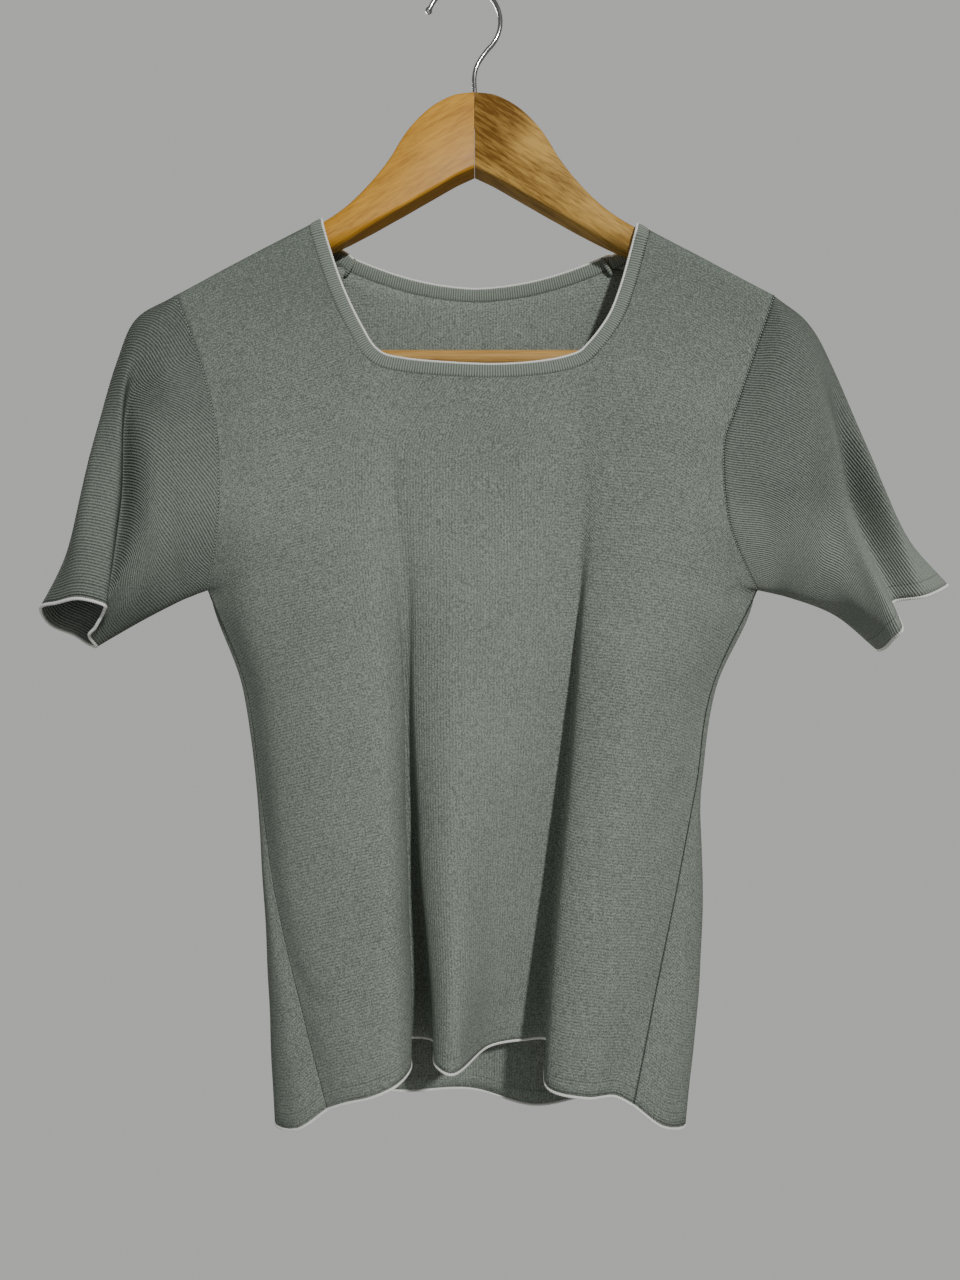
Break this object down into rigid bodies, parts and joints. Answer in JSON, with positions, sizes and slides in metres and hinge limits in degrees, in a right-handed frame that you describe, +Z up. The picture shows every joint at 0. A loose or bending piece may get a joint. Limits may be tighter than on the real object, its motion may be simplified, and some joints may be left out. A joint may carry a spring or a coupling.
{
  "type": "short-sleeved knit blouse on a hanger",
  "caption": "Short-sleeved fine-knit blouse with a scoop neck and light edging, hanging in soft folds on a wooden hanger with a wire hook.",
  "frame": {"origin": "the hook's inner top, where the hanger hangs on a rail or peg", "axes": "+X to the viewer's right as seen from the front, +Y away from the viewer, +Z up"},
  "size_m": [0.608, 0.0813, 0.7642],
  "materials": {
    "knit": "matte",
    "rib": "matte",
    "light_trim": "matte",
    "varnished_wood": "glossy",
    "chrome": "polished"
  },
  "bodies": {
    "root": {"front_panel": "knit", "back_panel": "knit", "sleeve_left": "knit", "sleeve_right": "knit", "neck_band_front": "rib", "neck_band_back": "rib", "neck_tipping_front": "light_trim", "neck_tipping_back": "light_trim", "hem_edging_front": "light_trim", "hem_edging_back": "light_trim", "cuff_edging_left": "light_trim", "cuff_edging_right": "light_trim", "hanger_arm_left": "varnished_wood", "hanger_arm_right": "varnished_wood", "trouser_bar": "varnished_wood", "hook": "chrome"}
  },
  "joints": []
}
